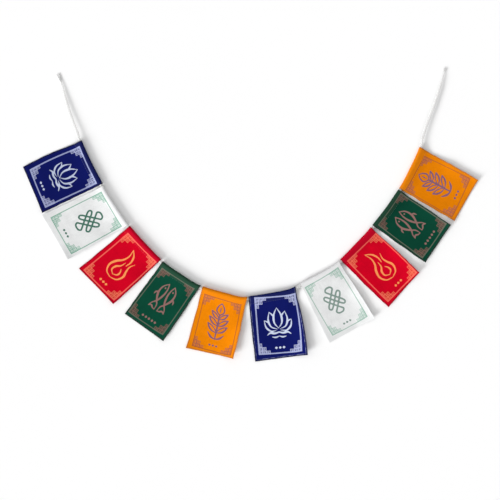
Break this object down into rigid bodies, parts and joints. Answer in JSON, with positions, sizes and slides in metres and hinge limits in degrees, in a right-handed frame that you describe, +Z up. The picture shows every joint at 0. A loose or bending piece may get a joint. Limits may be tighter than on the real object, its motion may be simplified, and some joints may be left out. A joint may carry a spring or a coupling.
{
  "type": "tibetan prayer flag string",
  "caption": "String of small rectangular cloth flags in blue, white, red, green and orange, each folded and sewn round a white cord with bare free ends, laid flat in a U.",
  "frame": {"origin": "middle of the flags' outline, without the cord, on the surface that the string lies on", "axes": "+X along the U's width, from the left free end to the right one; +Y from the bottom of the U towards its free ends; +Z up from the surface"},
  "size_m": [0.5898, 0.3805, 0.0074],
  "materials": {
    "cloth_blue": "woven, printed",
    "cloth_white": "woven, printed",
    "cloth_red": "woven, printed",
    "cloth_green": "woven, printed",
    "cloth_orange": "woven, printed",
    "cord": "twisted"
  },
  "bodies": {
    "root": {"flag_01_blue": "cloth_blue", "flag_02_white": "cloth_white", "flag_03_red": "cloth_red", "flag_04_green": "cloth_green", "flag_05_orange": "cloth_orange", "flag_06_blue": "cloth_blue", "flag_07_white": "cloth_white", "flag_08_red": "cloth_red", "flag_09_green": "cloth_green", "flag_10_orange": "cloth_orange", "cord": "cord"}
  },
  "joints": []
}
